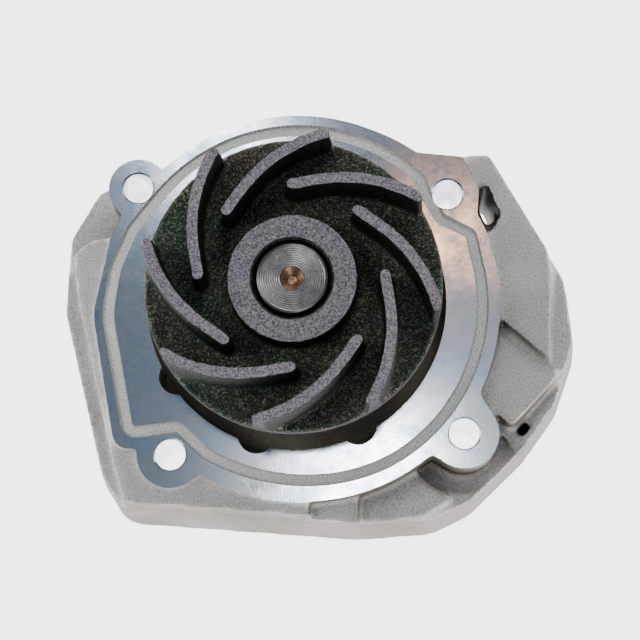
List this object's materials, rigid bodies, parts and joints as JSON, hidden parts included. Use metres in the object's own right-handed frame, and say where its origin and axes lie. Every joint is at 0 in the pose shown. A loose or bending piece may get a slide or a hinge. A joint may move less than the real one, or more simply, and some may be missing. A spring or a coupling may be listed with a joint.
{
  "type": "water pump",
  "caption": "Belt-driven engine coolant pump: die-cast flanged housing, curved-vane impeller and toothed pulley on a sealed ball-bearing shaft.",
  "frame": {"origin": "centre of the pulley's outer face, where the shaft's end lies flush, on the shaft's axis", "axes": "+Z along the shaft from the pulley to the impeller; +X towards the wide side lobe of the housing; +Y towards the side of the housing where the ring flange stands clear"},
  "size_m": [0.1225, 0.0975, 0.0944],
  "materials": {
    "cast_aluminium": "as-cast die-cast aluminium with milled sealing faces",
    "cast_iron": "rough sand-cast, black, with lighter ground vane tips",
    "ground_steel": "ground shaft with a turned end",
    "bearing_steel": "polished bearing steel",
    "spring_steel": "drawn wire",
    "sintered_steel": "sintered and steam-treated",
    "zinc_plate": "stamped and zinc plated",
    "seal_brass": "pressed sheet brass",
    "seal_rubber": "black moulded rubber",
    "seal_carbon": "lapped carbon",
    "seal_ceramic": "lapped ceramic",
    "cage_nylon": "moulded nylon"
  },
  "bodies": {
    "housing": {"pump_housing": "cast_aluminium", "bearing_outer_race": "bearing_steel", "bearing_lip_seal_pulley_side": "seal_rubber", "bearing_lip_seal_impeller_side": "seal_rubber", "seal_case": "seal_brass", "seal_spring": "spring_steel", "seal_bellows": "seal_rubber", "seal_carbon_ring": "seal_carbon"},
    "rotor": {"pump_shaft": "ground_steel", "impeller": "cast_iron", "drive_pulley": "sintered_steel", "pulley_guide_plate": "zinc_plate", "seal_seat_ring": "seal_ceramic", "seal_seat_boot": "seal_rubber"},
    "pulley_side_balls": {"ball_cage_pulley_side": "cage_nylon", "bearing_ball_pulley_side_1": "bearing_steel", "bearing_ball_pulley_side_2": "bearing_steel", "bearing_ball_pulley_side_3": "bearing_steel", "bearing_ball_pulley_side_4": "bearing_steel", "bearing_ball_pulley_side_5": "bearing_steel", "bearing_ball_pulley_side_6": "bearing_steel", "bearing_ball_pulley_side_7": "bearing_steel", "bearing_ball_pulley_side_8": "bearing_steel"},
    "impeller_side_balls": {"ball_cage_impeller_side": "cage_nylon", "bearing_ball_impeller_side_1": "bearing_steel", "bearing_ball_impeller_side_2": "bearing_steel", "bearing_ball_impeller_side_3": "bearing_steel", "bearing_ball_impeller_side_4": "bearing_steel", "bearing_ball_impeller_side_5": "bearing_steel", "bearing_ball_impeller_side_6": "bearing_steel", "bearing_ball_impeller_side_7": "bearing_steel", "bearing_ball_impeller_side_8": "bearing_steel"}
  },
  "joints": [
    {"name": "shaft_spin", "type": "hinge", "parent": "housing", "child": "rotor", "pos_m": [0, 0, 0], "axis": [0, 0, 1], "continuous": true},
    {"name": "pulley_side_cage_spin", "type": "hinge", "parent": "housing", "child": "pulley_side_balls", "pos_m": [0, 0, 0.021], "axis": [0, 0, 1], "continuous": true},
    {"name": "impeller_side_cage_spin", "type": "hinge", "parent": "housing", "child": "impeller_side_balls", "pos_m": [0, 0, 0.037], "axis": [0, 0, 1], "continuous": true}
  ],
  "couplings": [
    {"joint": "pulley_side_cage_spin", "follows": "shaft_spin", "ratio": 0.3545},
    {"joint": "impeller_side_cage_spin", "follows": "shaft_spin", "ratio": 0.3545}
  ]
}
